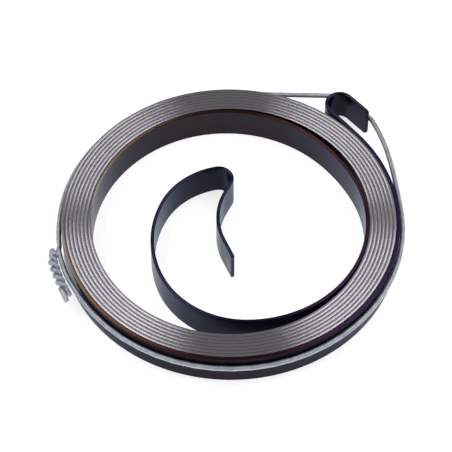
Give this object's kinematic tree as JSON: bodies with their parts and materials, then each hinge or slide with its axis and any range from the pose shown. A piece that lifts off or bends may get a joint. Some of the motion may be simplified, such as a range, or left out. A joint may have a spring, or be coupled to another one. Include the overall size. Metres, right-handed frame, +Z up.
{
  "type": "recoil starter spring",
  "caption": "Flat steel strip wound into a tight coil, with a free inner loop ending in an S-shaped hook and a folded-back outer hook, held by a round wire with twisted ends.",
  "frame": {"origin": "on the axis of the coil's tight turns, level with the lower edges of the strip, on which it lies", "axes": "+Z up along the coil's axis, across the strip's width; +X to the right of the view in which the outer hook is at the upper right; seen from +Z the strip runs clockwise from its outer hook to its inner one"},
  "size_m": [0.0692, 0.0674, 0.007],
  "materials": {
    "spring_steel": "hardened and tempered strip, dark blued faces with temper colours along its edges",
    "galvanised_wire": "smooth galvanised binding wire"
  },
  "bodies": {
    "root": {"spring_strip": "spring_steel", "retaining_wire": "galvanised_wire"}
  },
  "joints": []
}
